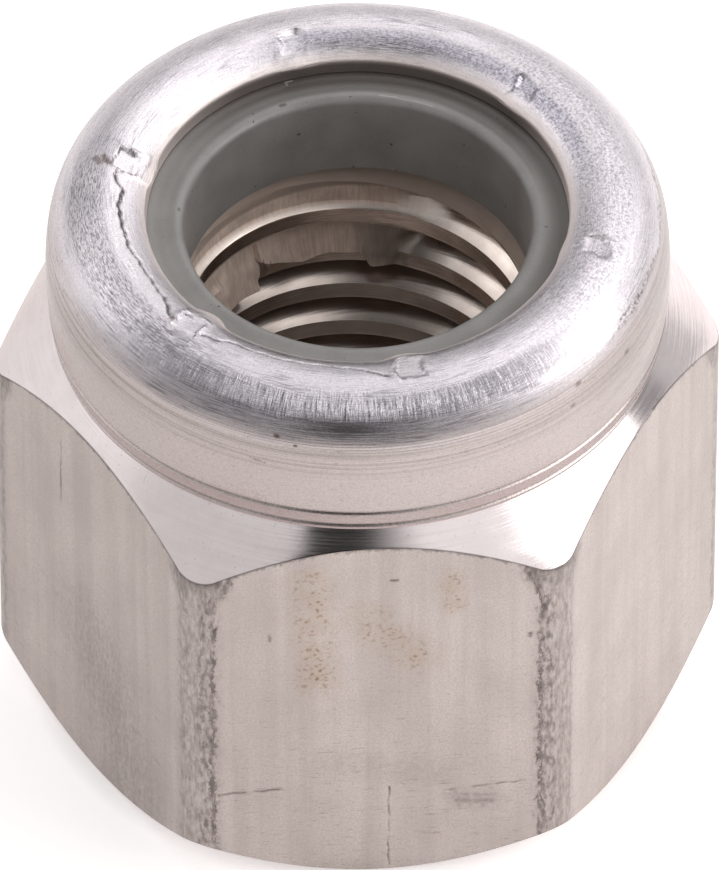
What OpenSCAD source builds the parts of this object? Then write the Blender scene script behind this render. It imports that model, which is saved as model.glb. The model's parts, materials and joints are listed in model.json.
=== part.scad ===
// Hexagon lock nut with a captive polyamide ring.
// The body is turned from drawn hexagon bar: a chamfered hexagon, a cone shoulder and a round
// collar. The collar's thin rim is rolled inwards over the ring and staked in six places.
// The origin is the centre of the bearing face, and +Z points to the ring end.

/* [Hexagon] */
// Width across the flats
across_flats = 12.7; // [12:0.1:16]
// Width of the rounded band along each corner of the drawn bar
corner_w = 0.7; // [0.3:0.05:0.8]
// Radius of that rounded band
corner_radius = 0.9; // [0.85:0.05:2]
// Height of the hexagon, up to where its cone shoulder meets the collar
hexagon_h = 9.55; // [6:0.05:14]
// Fall of the cone shoulder below the horizontal
shoulder_angle = 45.5; // [25:0.5:55]
// Distance of the bearing face's edge behind the flats
bearing_inset = 0.05; // [0.05:0.05:1]
// Angle of the chamfer round the bearing face
chamfer_angle = 45; // [20:1:55]

/* [Collar] */
// Height of the collar above the shoulder, up to the crown of its lip
collar_h = 3.15; // [2.6:0.05:4]
// Distance of the collar's root behind the flats
collar_inset = 0.28; // [0.2:0.01:0.6]
// Bulge of the barrel-shaped collar beyond its root
collar_bulge = 0.12; // [0.04:0.01:0.18]
// Height of the widest part of the collar above the shoulder
belly_h = 1.35; // [0.8:0.05:1.8]
// Thickness of the collar's wall and of the lip over the ring
collar_wall = 0.65; // [0.4:0.05:0.9]

/* [Rolled lip] */
// Outer radius of the roll that turns the collar's rim inwards
roll_r = 1.15; // [1:0.05:1.4]
// Width of the ring's top that the lip covers
lip_cover = 1.36; // [1:0.02:1.6]
// Radius of the lip's nose at the opening
nose_r = 0.1; // [0.05:0.01:0.15]

/* [Stakes] */
// Number of stake marks punched into the lip
stake_count = 6; // [2:1:8]
// Angle of the first stake mark from the X axis
stake_angle = 42; // [0:1:60]
// Length of a stake mark across the lip
stake_l = 0.6; // [0.3:0.05:0.8]
// Width of a stake mark along the lip
stake_w = 0.7; // [0.3:0.05:1]
// Depth of a stake mark
stake_depth = 0.1; // [0.05:0.01:0.15]
// Reach of the tongue that each stake pushes out over the ring
tongue_reach = 0.1; // [0.05:0.01:0.2]

/* [Thread] */
// Major diameter of the thread
thread_d = 7.94; // [6:0.01:8.6]
// Pitch of the thread
thread_pitch = 1.058; // [0.8:0.001:1.6]
// Width of the countersink in the bearing face, beyond the thread's major radius
entry_margin = 0.23; // [0:0.01:0.6]
// Half angle of the countersinks at both ends of the thread
countersink_angle = 45; // [30:1:60]

/* [Ring] */
// Thickness of the polyamide ring
ring_h = 1.93; // [1.4:0.01:2.4]
// Clearance of the ring's bore outside the thread's minor radius
ring_bore_clearance = 0.025; // [0.005:0.005:0.1]
// Radius of the ring's upper bore edge
ring_edge_r = 0.18; // [0.05:0.01:0.3]
// Gap between the ring and the groove's wall and top
ring_gap = 0.02; // [0.01:0.01:0.05]

/* [Hidden] */
$fn = 96;

// Hexagon: its sharp corners, and the axes of the arcs that round them
sides = 6;
half_side = 180 / sides;
flat_r = across_flats / 2;
sharp_r = flat_r / cos(half_side);
corner_bend = asin(corner_w / 2 / corner_radius);
corner_chord_r = sharp_r - corner_w / 2 * tan(half_side);
corner_axis_r = corner_chord_r - corner_radius * cos(corner_bend);
// The cutter that rounds a corner ends where its arc has passed outside the flats
corner_cut_w = corner_w + 2 * corner_radius * sin(half_side - corner_bend) * cos(half_side);

// Cutters and envelopes reach this far past what they trim
over = 1;

// Envelope of the turned hexagon, wider than its corners
bearing_r = flat_r - bearing_inset;
collar_root_r = flat_r - collar_inset;
envelope_r = sharp_r + over;
chamfer_top_z = (envelope_r - bearing_r) * tan(chamfer_angle);
shoulder_foot_z = hexagon_h - (envelope_r - collar_root_r) * tan(shoulder_angle);

// Barrel: the arc from the collar's root to its belly
nut_h = hexagon_h + collar_h;
belly_z = hexagon_h + belly_h;
belly_r = collar_root_r + collar_bulge;
barrel_r = (belly_h * belly_h + collar_bulge * collar_bulge) / (2 * collar_bulge);
barrel_axis_r = belly_r - barrel_r;

// Roll: an arc that leaves the barrel smoothly and reaches the crown
roll_z = nut_h - roll_r;
roll_start = asin((roll_z - belly_z) / (barrel_r - roll_r));
roll_axis_r = barrel_axis_r + (barrel_r - roll_r) * cos(roll_start);
roll_axis = [roll_axis_r, roll_z];

// Groove behind the lip, and the ring that fills it
groove_r = belly_r - collar_wall;
groove_top_z = nut_h - collar_wall;
groove_z = groove_top_z - ring_gap - ring_h;
groove_round = roll_r - collar_wall;

// Nose: the small round at the end of the roll, inside it and touching it
lip_r = groove_r - lip_cover;
nose_axis_r = lip_r + nose_r;
roll_end = acos((nose_axis_r - roll_axis_r) / (roll_r - nose_r));
nose_axis = roll_axis + (roll_r - nose_r) * [cos(roll_end), sin(roll_end)];

// Thread: 5/8 of the sharp V's height lies between the major and minor radii
thread_depth = 5 / 8 * thread_pitch * cos(30);
minor_r = thread_d / 2 - thread_depth;
ring_bore_r = minor_r + ring_bore_clearance;

// Countersinks: wider than the thread below, as wide as the thread under the ring
entry_r = thread_d / 2 + entry_margin;
entry_z = (entry_r - minor_r) / tan(countersink_angle);
entry_over_r = entry_r + over * tan(countersink_angle);
exit_z = groove_z - thread_depth / tan(countersink_angle);

// Stake marks lie on the roll, just behind the nose
stake_tilt = asin((roll_axis_r - nose_axis_r - stake_l / 2) / roll_r);

// What is missing outside the rounded corner on the X axis
module corner_cut() {
    difference() {
        translate([corner_axis_r, -corner_cut_w / 2])
            square([sharp_r, corner_cut_w]);
        translate([corner_axis_r, 0])
            circle(r = corner_radius);
    }
}

// Outline of the drawn hexagon bar, with two flats across the Y axis
module bar_outline() {
    difference() {
        circle(r = sharp_r, $fn = sides);
        for (i = [0:sides - 1])
            rotate(2 * half_side * i)
                corner_cut();
    }
}

// Rectangle in the half section whose upper corners may be rounded
module rounded_block(r0, r1, z0, z1, outer_round, inner_round = 0) {
    polygon([
        [r0, z0],
        [r1, z0],
        [r1, z1 - outer_round],
        [r1 - outer_round, z1],
        [r0 + inner_round, z1],
        [r0, z1 - inner_round]
    ]);
    translate([r1 - outer_round, z1 - outer_round])
        circle(r = outer_round);
    if (inner_round > 0)
        translate([r0 + inner_round, z1 - inner_round])
            circle(r = inner_round);
}

// Half section of the chamfer, the hexagon's envelope and the shoulder
module hexagon_section() {
    polygon([
        [0, 0],
        [bearing_r, 0],
        [envelope_r, chamfer_top_z],
        [envelope_r, shoulder_foot_z],
        [collar_root_r, hexagon_h],
        [0, hexagon_h]
    ]);
}

// Half section of the barrel-shaped collar, up to the start of the roll
module barrel_section() {
    intersection() {
        translate([barrel_axis_r, belly_z])
            circle(r = barrel_r, $fn = 4 * $fn);
        polygon([
            [0, hexagon_h],
            [2 * belly_r, hexagon_h],
            roll_axis + (roll_r + over) * [cos(roll_start), sin(roll_start)],
            roll_axis,
            [0, roll_z]
        ]);
    }
}

// Half section of the rolled lip, from inside the barrel over the crown to the nose
module lip_section() {
    intersection() {
        translate(roll_axis)
            circle(r = roll_r);
        polygon([
            roll_axis,
            roll_axis + 2 * roll_r * [0, -1],
            roll_axis + 2 * roll_r * [1, -1],
            roll_axis + 2 * roll_r * [1, 1],
            roll_axis + 2 * roll_r * [-1, 1],
            roll_axis + 2 * roll_r * [cos(roll_end), sin(roll_end)]
        ]);
    }
    translate(nose_axis)
        circle(r = nose_r);
    translate([lip_r, roll_z])
        square([roll_axis_r - lip_r, nose_axis[1] - roll_z]);
}

// Half section of the way through: thread bore, countersinks and the ring's groove
module bore_section() {
    polygon([
        [0, -over],
        [entry_over_r, -over],
        [minor_r, entry_z],
        [minor_r, exit_z],
        [thread_d / 2, groove_z],
        [0, groove_z]
    ]);
    rounded_block(0, groove_r, groove_z, groove_top_z, groove_round);
}

// One punched mark, sunk square to the lip's slope
module stake_mark() {
    translate([roll_axis_r, 0, roll_z])
        rotate([0, -stake_tilt, 0])
            translate([-stake_l / 2, -stake_w / 2, roll_r - stake_depth])
                cube([stake_l, stake_w, over]);
}

// The tongue of lip metal that a stake pushes inwards over the ring
module stake_tongue() {
    translate([lip_r - tongue_reach + stake_w / 2, 0, groove_top_z])
        cylinder(d = stake_w, h = nose_axis[1] - groove_top_z);
}

module at_stakes() {
    for (i = [0:stake_count - 1])
        rotate(stake_angle + 360 / stake_count * i)
            children();
}

module nut_body() {
    color("#c9c0ba")
        difference() {
            union() {
                intersection() {
                    linear_extrude(nut_h + over)
                        bar_outline();
                    rotate_extrude()
                        difference() {
                            union() {
                                hexagon_section();
                                barrel_section();
                                lip_section();
                            }
                            bore_section();
                        }
                }
                at_stakes() stake_tongue();
            }
            at_stakes() stake_mark();
        }
}

module locking_insert() {
    color("#747371")
        rotate_extrude()
            rounded_block(
                ring_bore_r,
                groove_r - ring_gap,
                groove_z,
                groove_top_z - ring_gap,
                groove_round - ring_gap,
                ring_edge_r
            );
}

nut_body();
locking_insert();
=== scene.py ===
# %% [markdown]
# # A hexagon lock nut with a captive polyamide ring
# The nut was turned from drawn hexagon bar, drilled and tapped. A grey ring was laid in a groove
# at its top, and the thin rim was rolled over the ring and staked in six places. This lesson makes
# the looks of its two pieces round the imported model, which stays as the frame.

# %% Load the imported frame
import json
from math import acos, asin, cos, pi, radians, sin, sqrt, tan

import bmesh
import bpy
import numpy as np
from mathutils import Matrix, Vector

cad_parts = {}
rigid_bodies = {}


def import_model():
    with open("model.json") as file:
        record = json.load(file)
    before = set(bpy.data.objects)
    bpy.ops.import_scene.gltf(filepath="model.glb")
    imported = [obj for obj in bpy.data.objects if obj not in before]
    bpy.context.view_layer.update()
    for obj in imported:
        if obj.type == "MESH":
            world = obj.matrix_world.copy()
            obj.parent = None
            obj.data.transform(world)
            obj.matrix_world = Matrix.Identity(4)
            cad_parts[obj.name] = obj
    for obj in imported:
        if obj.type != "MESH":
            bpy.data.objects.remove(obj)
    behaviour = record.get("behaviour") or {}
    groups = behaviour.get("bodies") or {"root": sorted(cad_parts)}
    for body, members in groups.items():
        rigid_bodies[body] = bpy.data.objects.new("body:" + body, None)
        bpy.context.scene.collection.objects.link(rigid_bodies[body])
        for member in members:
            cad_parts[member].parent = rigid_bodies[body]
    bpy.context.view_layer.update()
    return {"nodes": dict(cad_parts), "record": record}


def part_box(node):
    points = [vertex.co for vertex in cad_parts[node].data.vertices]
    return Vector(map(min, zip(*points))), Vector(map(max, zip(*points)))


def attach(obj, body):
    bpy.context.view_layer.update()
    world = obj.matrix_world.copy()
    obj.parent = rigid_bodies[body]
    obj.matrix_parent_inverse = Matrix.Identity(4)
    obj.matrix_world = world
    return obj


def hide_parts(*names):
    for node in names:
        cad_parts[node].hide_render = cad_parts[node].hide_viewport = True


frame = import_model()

print("nodes of the frame:", sorted(frame["nodes"]))

# %% [markdown]
# ## Sizes
# Whatever the frame can tell is read from it: the boxes of the two nodes and the radii of the two
# bores. The rest are the turner's own sizes. All are in millimetres, and a mesh is turned to metres
# only when it is made.

# %% Sizes in millimetres
MM = 0.001
SIDES = 6
SECTOR = 2 * pi / SIDES

body_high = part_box("nut_body")[1] / MM
ring_low, ring_high = (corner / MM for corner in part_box("locking_insert"))
mount_dims = {mount["name"]: mount["dims"] for mount in frame["record"]["mounts"]}

FLAT_R = body_high.y
NUT_H = body_high.z
MINOR_R = mount_dims["thread"]["r_mm"]
RING_BORE_R = mount_dims["locking_bore"]["r_mm"]

# Hexagon, with its chamfer and its cone shoulder
CORNER_W = 0.7
CORNER_RADIUS = 0.9
BEARING_INSET = 0.05
BEARING_R = FLAT_R - BEARING_INSET
CHAMFER = radians(45)
SHOULDER_Z = 9.55
SHOULDER_FALL = radians(45.5)
EDGE_BREAK = 0.035

# Collar, rolled lip and the groove behind it
COLLAR_INSET, COLLAR_BULGE, BELLY_H = 0.28, 0.12, 1.35
COLLAR_R = FLAT_R - COLLAR_INSET
BELLY_R = COLLAR_R + COLLAR_BULGE
BELLY_Z = SHOULDER_Z + BELLY_H
COLLAR_WALL = 0.65
LIP_COVER = 1.36
ROLL_R = 1.15
NOSE_R = 0.1
GROOVE_R = BELLY_R - COLLAR_WALL
GROOVE_TOP_Z = NUT_H - COLLAR_WALL
GROOVE_ROUND = ROLL_R - COLLAR_WALL
GROOVE_Z = ring_low.z
LIP_R = GROOVE_R - LIP_COVER

# Thread and its countersinks
PITCH = 1.058
THREAD_D = 7.94
ENTRY_MARGIN = 0.23
THREAD_R = THREAD_D / 2
ENTRY_R = THREAD_R + ENTRY_MARGIN
ENTRY_Z = ENTRY_R - MINOR_R
EXIT_Z = GROOVE_Z - (THREAD_R - MINOR_R)

# Ring
RING_R = ring_high.x
RING_Z, RING_TOP_Z = ring_low.z, ring_high.z
RING_EDGE_R = 0.18

# Radius of the circle that stands for the turn about the axis in the lathe attribute
LATHE_R = 6.0

# Points closer than this, in metres, are merged
MERGE_DISTANCE = 1e-7

print("across flats", round(2 * FLAT_R, 3), "height", round(NUT_H, 3), "minor radius", MINOR_R)

# %% [markdown]
# ## Camera
# The photograph looks down on the nut at about 45 degrees through a long lens. The distance, the
# angles and the point of the axis in the picture were found by fitting the rims and edges of the nut.

# %% Camera
PHOTO_W, PHOTO_H = 720, 870
VIEW_AZIMUTH = radians(-3.4)
VIEW_ELEVATION = radians(45.51)
VIEW_DISTANCE = 387.5
VIEW_SCALE = 50.25
AXIS_POINT = Vector((0, 0, 8.46))
AXIS_PIXEL = (357.87, 347.49)
CLIP_RANGE = (0.01, 10)

view_back = Vector((
    sin(VIEW_AZIMUTH) * cos(VIEW_ELEVATION),
    -cos(VIEW_AZIMUTH) * cos(VIEW_ELEVATION),
    sin(VIEW_ELEVATION),
))
view_right = Vector((cos(VIEW_AZIMUTH), sin(VIEW_AZIMUTH), 0))
view_up = view_back.cross(view_right)
eye = AXIS_POINT + VIEW_DISTANCE * view_back
aim = AXIS_POINT + view_right * (PHOTO_W / 2 - AXIS_PIXEL[0]) / VIEW_SCALE
aim -= view_up * (PHOTO_H / 2 - AXIS_PIXEL[1]) / VIEW_SCALE

camera = bpy.data.objects.new("camera", bpy.data.cameras.new("camera"))
camera.data.lens = camera.data.sensor_width * VIEW_SCALE * VIEW_DISTANCE / PHOTO_H
camera.data.clip_start, camera.data.clip_end = CLIP_RANGE
camera.location = eye * MM
camera.rotation_euler = (aim - eye).to_track_quat("-Z", "Y").to_euler()
bpy.context.scene.collection.objects.link(camera)
bpy.context.scene.camera = camera
print("lens", round(camera.data.lens, 1), "mm")

# %% [markdown]
# ## Nodes
# Materials, the thread and the studio are all node trees. One small function adds a node with its
# settings and its inputs, where an input is a plain value, another node's socket or a node, which
# then gives its first output.


# %% One helper for every node
def add(tree, kind, inputs=(), **settings):
    made = tree.nodes.new(kind)
    for name, value in settings.items():
        setattr(made, name, value)
    for socket, value in dict(inputs).items():
        if isinstance(value, bpy.types.Node):
            value = value.outputs[0]
        if isinstance(value, bpy.types.NodeSocket):
            tree.links.new(value, made.inputs[socket])
        else:
            made.inputs[socket].default_value = value
    return made


# A colour is written as its sRGB hex value and turned to linear here
def linear(hex_colour):
    shares = [int(hex_colour[i:i + 2], 16) / 255 for i in (1, 3, 5)]
    return [s / 12.92 if s <= 0.04045 else ((s + 0.055) / 1.055) ** 2.4 for s in shares] + [1]


# %% [markdown]
# ## Finishes
# The metal is one bare aluminium; only the tool that made each surface differs. Drawing leaves fine
# lines along the bar, turning leaves bright rings, rolling leaves scuffed bands, and tapping leaves
# smooth, slightly torn flanks. The meshes below carry attributes for them. lathe is the turn about
# the axis as a circle and the way along the section, in millimetres. corner is the distance from the
# nearest corner and below_edge that from the shoulder's edge. One more attribute holds the dirt in
# cracks and round the stakes, painted shade under the nose and under the lip, painted dark reflections
# along the hexagon's edges, and the torn sheet on the thread; rubbed is how dark the rims of a flat
# are, and crest marks the thread's crests.


# %% Patterns that the finishes share
def new_material(name):
    material = bpy.data.materials.new(name)
    material.use_nodes = True
    material.node_tree.nodes.clear()
    return material, material.node_tree


# Object coordinates in millimetres
def spot_mm(tree):
    spot = add(tree, "ShaderNodeTexCoord").outputs["Object"]
    return add(tree, "ShaderNodeVectorMath", {0: spot, "Scale": 1 / MM}, operation="SCALE")


# Noise whose grains have the given size in millimetres each way, cut between two levels
def grains(tree, place, size, cut=(0, 1), detail=3, roughness=0.5):
    space = add(tree, "ShaderNodeMapping", {"Vector": place, "Scale": [1 / length for length in size]})
    noise = add(tree, "ShaderNodeTexNoise", {
        "Vector": space, "Scale": 1, "Detail": detail, "Roughness": roughness,
    })
    return add(tree, "ShaderNodeMapRange", {"Value": noise, "From Min": cut[0], "From Max": cut[1]})


# 1 between two values, falling to 0 within a soft edge outside them
def band(tree, value, low, high, soft):
    rise = add(tree, "ShaderNodeMapRange", {"Value": value, "From Min": low - soft, "From Max": low})
    fall = add(tree, "ShaderNodeMapRange", {"Value": value, "From Min": high + soft, "From Max": high})
    return add(tree, "ShaderNodeMath", {0: rise, 1: fall}, operation="MULTIPLY")


# 1 on the side of the axis at the given turn, up to the first angle away from it, and 0 past the second
def side_of_axis(tree, lathe, turn, full, none):
    towards = (cos(radians(turn)), sin(radians(turn)), 0)
    facing = add(tree, "ShaderNodeVectorMath", {0: lathe, 1: towards}, operation="DOT_PRODUCT")
    return add(tree, "ShaderNodeMapRange", {
        "Value": facing.outputs["Value"],
        "From Min": LATHE_R * cos(radians(none)), "From Max": LATHE_R * cos(radians(full)),
    })


# Strength along straight lines from one point to another, falling to 0 at each line's half width
def marks(tree, place, lines):
    strongest = 0.0
    for start, end, width, strength in lines:
        start, end = Vector(start), Vector(end)
        along = (end - start).normalized()
        offset = add(tree, "ShaderNodeVectorMath", {0: place, 1: start}, operation="SUBTRACT")
        run = add(tree, "ShaderNodeVectorMath", {0: offset, 1: along}, operation="DOT_PRODUCT")
        kept = add(tree, "ShaderNodeClamp", {
            "Value": run.outputs["Value"], "Min": 0, "Max": (end - start).length,
        })
        foot = add(tree, "ShaderNodeVectorMath", {0: along, "Scale": kept}, operation="SCALE")
        aside = add(tree, "ShaderNodeVectorMath", {0: offset, 1: foot}, operation="DISTANCE")
        mark = add(tree, "ShaderNodeMapRange", {
            "Value": aside.outputs["Value"], "From Min": width, "From Max": 0, "To Max": strength,
        }, interpolation_type="SMOOTHSTEP")
        strongest = add(tree, "ShaderNodeMath", {0: strongest, 1: mark}, operation="MAXIMUM")
    return strongest


# A colour with tints laid over it in turn, each where the product of its masks is 1
def paint(tree, base, layers):
    colour = linear(base)
    for tint, share, *masks in layers:
        for mask in masks:
            share = add(tree, "ShaderNodeMath", {0: share, 1: mask}, operation="MULTIPLY")
        mixed = add(tree, "ShaderNodeMix", {0: share, 6: colour, 7: linear(tint)}, data_type="RGBA")
        colour = mixed.outputs[2]
    return colour


# How much of the fine relief shows in the shading
BUMP_STRENGTH = 0.6


# Fine relief: patterns weighed and added, where 1 stands out by the given depth in millimetres
def relief(tree, depth, parts):
    height = 0.0
    for pattern, weight in parts:
        height = add(tree, "ShaderNodeMath", {0: pattern, 1: weight, 2: height}, operation="MULTIPLY_ADD")
    return add(tree, "ShaderNodeBump", {
        "Height": height, "Strength": BUMP_STRENGTH, "Distance": depth * MM,
    })


# The surface itself, whose roughness follows a pattern between two values
def surface(tree, colour, pattern, roughness, normal, **others):
    rough = add(tree, "ShaderNodeMapRange", {
        "Value": pattern, "To Min": roughness[0], "To Max": roughness[1],
    })
    shader = add(tree, "ShaderNodeBsdfPrincipled", {
        "Base Color": colour, "Roughness": rough, "Normal": normal, **others,
    })
    add(tree, "ShaderNodeOutputMaterial", {"Surface": shader})


# %% [markdown]
# The marks on the flats are few and tell this nut from another, so they are listed one by one: the turn of
# the flat, then both ends as a distance along it and a height, the half width and the strength.

# %% Drawn flats
SCRATCHES = (
    (270, (-3.16, 2.40), (-1.91, 2.50), 0.06, 0.7),
    (270, (1.46, 2.28), (2.93, 2.45), 0.05, 0.5),
    (270, (1.56, 2.30), (1.64, 1.75), 0.08, 0.2),
    (270, (1.80, 2.28), (1.86, 1.80), 0.08, 0.2),
    (270, (1.60, 1.95), (2.28, 1.90), 0.12, 0.35),
    (270, (1.70, 2.12), (2.40, 2.08), 0.09, 0.25),
    (270, (2.05, 2.10), (2.10, 1.75), 0.08, 0.2),
    (270, (0.24, 2.42), (0.24, 0.17), 0.04, 0.9),
    (270, (0.90, 1.07), (1.22, 1.05), 0.05, 0.5),
    (270, (-2.13, 6.78), (-2.13, 6.94), 0.06, 0.9),
    (270, (-3.24, 7.10), (-3.22, 7.16), 0.08, 0.9),
    (270, (0.28, 8.36), (0.40, 8.36), 0.06, 0.8),
    (270, (3.30, 7.30), (3.32, 7.45), 0.12, 0.8),
    (270, (3.02, 6.60), (3.02, 6.68), 0.08, 0.8),
    (210, (-1.05, 8.48), (-1.09, 6.77), 0.05, 0.6),
)
SMUDGES_AND_SHADE = (
    (210, (-0.10, 3.70), (0.35, 2.95), 0.35, 0.6),
    (210, (0.60, 2.90), (1.00, 2.20), 0.35, 0.5),
    (210, (1.20, 3.30), (1.75, 2.30), 0.40, 0.6),
    # The broad mark on the lower left flat is painted shade
    (210, (0.20, 3.60), (1.40, 0.80), 2.40, 0.7),
    (270, (-1.00, 3.20), (1.20, 2.80), 0.70, 0.25),
    (270, (1.60, 2.05), (2.30, 1.95), 0.50, 0.4),
)
STAINS = (
    (270, (-1.30, 8.40), (-1.20, 5.50), 0.65, 0.9),
    (270, (-0.20, 7.30), (0.75, 6.20), 0.75, 0.8),
    (270, (1.45, 8.35), (1.52, 7.60), 0.40, 0.9),
)
# How far noise moves these marks, and the grain of that noise
WOBBLE_REACH, WOBBLE_SIZE = 0.09, 0.25
# The corner band: its parts as a start, an end and a soft edge from the middle of the corner, how far
# noise frays them, where the band flares, and what is left of its blots away from the front flat
CORNER_BAND = (-1, 0.34, 0.3)
BESIDE_BAND = (0.26, 0.42, 0.12)
RIM_LINE = (0.45, 0.46, 0.06)
FRAY_W = 0.2
FLARE_HEIGHTS, FLARE_W = (7.6, 8.5), 0.26
FAR_SIDE_SHARE = 0.45
# Painted dark reflection along the shoulder's edge, and the heights at which dashes lie across the bar
EDGE_DARK_REFLECTION, EDGE_FRAY_W = (-1, 0.08, 0.08), 0.16
DASHED_HEIGHTS = (0, 3, 4)


def on_flat(turn, place):
    outwards = Vector((cos(radians(turn)), sin(radians(turn)), 0))
    return FLAT_R * outwards + place[0] * Vector((-outwards.y, outwards.x, 0)) + Vector((0, 0, place[1]))


def marks_on_flats(tree, place, lines):
    return marks(tree, place, [
        (on_flat(turn, start), on_flat(turn, end), width, strength)
        for turn, start, end, width, strength in lines
    ])


# Drawn aluminium: satin and warm grey, with hair lines along the bar, mottled corners and brown stains
def drawn_aluminium():
    material, tree = new_material("drawn_aluminium")
    spot = spot_mm(tree)
    height = add(tree, "ShaderNodeSeparateXYZ", {0: spot}).outputs["Z"]
    corner, below_edge, dirt_and_shade, rubbed = (
        add(tree, "ShaderNodeAttribute", attribute_name=name).outputs["Fac"]
        for name in ("corner", "below_edge", "marks_and_shade", "rubbed")
    )
    hairs = grains(tree, spot, (0.07, 0.07, 6), (0.3, 0.7))
    bars = grains(tree, spot, (0.4, 0.4, 12), (0.4, 0.65))
    grain = grains(tree, spot, (0.045, 0.045, 0.045), (0.3, 0.7), 2)
    cloud = grains(tree, spot, (1.2, 1.2, 1.6), (0.4, 0.7))
    mottle = grains(tree, spot, (0.09, 0.09, 0.16), (0.25, 0.75), 4, 0.65)
    flecks = grains(tree, spot, (0.07, 0.07, 0.3), (0.42, 0.72), 4, 0.6)
    blots = grains(tree, spot, (0.1, 0.1, 0.24), (0.45, 0.72), 4, 0.6)
    patches = grains(tree, spot, (0.3, 0.3, 0.6), (0.35, 0.55))
    dashes = grains(tree, spot, (0.3, 0.3, 0.04), (0.58, 0.72), 4, 0.6)
    cloud_edge = grains(tree, spot, (0.4, 0.4, 0.5), (0.25, 0.55))
    dots = grains(tree, spot, (0.11, 0.11, 0.09), (0.53, 0.66), 3, 0.6)

    # Marks that aren't quite straight
    wobble = add(tree, "ShaderNodeTexNoise", {"Vector": spot, "Scale": 1 / WOBBLE_SIZE, "Detail": 2})
    shift = add(tree, "ShaderNodeVectorMath", {0: wobble.outputs["Color"], 1: [0.5] * 3},
                operation="SUBTRACT")
    drifting = add(tree, "ShaderNodeVectorMath", {0: shift, 1: [WOBBLE_REACH] * 3, 2: spot},
                   operation="MULTIPLY_ADD")
    stained, smudged_and_shaded, scratched = (
        marks_on_flats(tree, drifting, lines) for lines in (STAINS, SMUDGES_AND_SHADE, SCRATCHES)
    )

    # The corner band, with a ragged edge that flares below the shoulder
    flared = add(tree, "ShaderNodeMapRange", {
        "Value": height, "From Min": FLARE_HEIGHTS[0], "From Max": FLARE_HEIGHTS[1],
    }, interpolation_type="SMOOTHSTEP")
    reach = add(tree, "ShaderNodeMath", {0: flared, 1: -FLARE_W, 2: corner}, operation="MULTIPLY_ADD")
    ragged = add(tree, "ShaderNodeMath", {0: mottle, 1: FRAY_W, 2: reach}, operation="MULTIPLY_ADD")
    on_band, beside, rim = (
        band(tree, ragged, *limits) for limits in (CORNER_BAND, BESIDE_BAND, RIM_LINE)
    )
    front_side = add(tree, "ShaderNodeMapRange", {"Value": rubbed, "To Min": FAR_SIDE_SHARE})
    from_edge = add(tree, "ShaderNodeMath", {0: mottle, 1: EDGE_FRAY_W, 2: below_edge},
                    operation="MULTIPLY_ADD")

    colour = paint(tree, "#B7ABA7", (
        ("#CDC2BD", grain),
        ("#D8CEC9", hairs, 0.3),
        ("#A39894", bars, 0.3),
        ("#A89D9A", cloud, 0.35),
        ("#7C726F", dashes, band(tree, height, *DASHED_HEIGHTS), 0.5),
        ("#948A87", on_band, 0.5),
        ("#DDD3CF", on_band, flecks, 0.5),
        ("#5F5653", on_band, blots, front_side, 0.6),
        ("#5F5653", on_band, flared, mottle, 0.7),
        ("#665D5A", beside, blots, rubbed, 0.65),
        ("#554C49", rim, rubbed, patches, 0.75),
        # Painted dark reflection just below the shoulder's edge
        ("#4F4644", band(tree, from_edge, *EDGE_DARK_REFLECTION), patches, 0.6),
        ("#B39E8B", stained, cloud_edge, 0.5),
        ("#846A52", stained, dots, cloud_edge, 0.85),
        # Smudges, and painted shade on the lower left flat
        ("#7F7674", smudged_and_shaded, mottle),
        ("#5A514E", scratched, patches),
        # Painted dark reflections along the broken edges
        ("#4A413F", dirt_and_shade, mottle),
    ))
    bump = relief(tree, 0.004, ((hairs, 1), (grain, 1), (scratched, -1), (dashes, -1)))
    surface(tree, colour, hairs, (0.34, 0.5), bump, Metallic=1)
    return material


# %% [markdown]
# A single-point tool cut the shoulder and the bearing face, so their fine rings run round the axis. They
# could be modelled, but at a few thousandths deep they only soften the mirror, so they are relief.

# %% Turned shoulder and bearing face
# Turned aluminium: bright, with fine rings from the tool's feed and painted dark reflections along its
# edges
def turned_aluminium():
    material, tree = new_material("turned_aluminium")
    lathe = add(tree, "ShaderNodeAttribute", attribute_name="lathe").outputs["Vector"]
    dirt_and_shade = add(tree, "ShaderNodeAttribute", attribute_name="marks_and_shade").outputs["Fac"]
    rings = grains(tree, lathe, (3, 3, 0.04), (0.3, 0.7), 4)
    cloud = grains(tree, lathe, (0.5, 0.5, 0.3))
    specks = grains(tree, lathe, (0.05, 0.05, 0.05), (0.66, 0.76), 2)
    colour = paint(tree, "#DDD1D1", (
        ("#EEE4E4", cloud),
        ("#C9BFC0", rings, 0.2),
        ("#8E8688", specks, 0.35),
        # Painted dark reflections along the broken edges
        ("#4A413F", dirt_and_shade),
    ))
    bump = relief(tree, 0.002, ((rings, 1),))
    surface(tree, colour, rings, (0.1, 0.22), bump, Metallic=1)
    return material


# %% [markdown]
# The lip shows what the roller did, band by band along the section: streaks round the crown, short
# strokes across its outer shoulder, a dark rubbed band below them and fine turned lines on the wall.
# On the left the streaks break up into a row of dark dashes.

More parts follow.
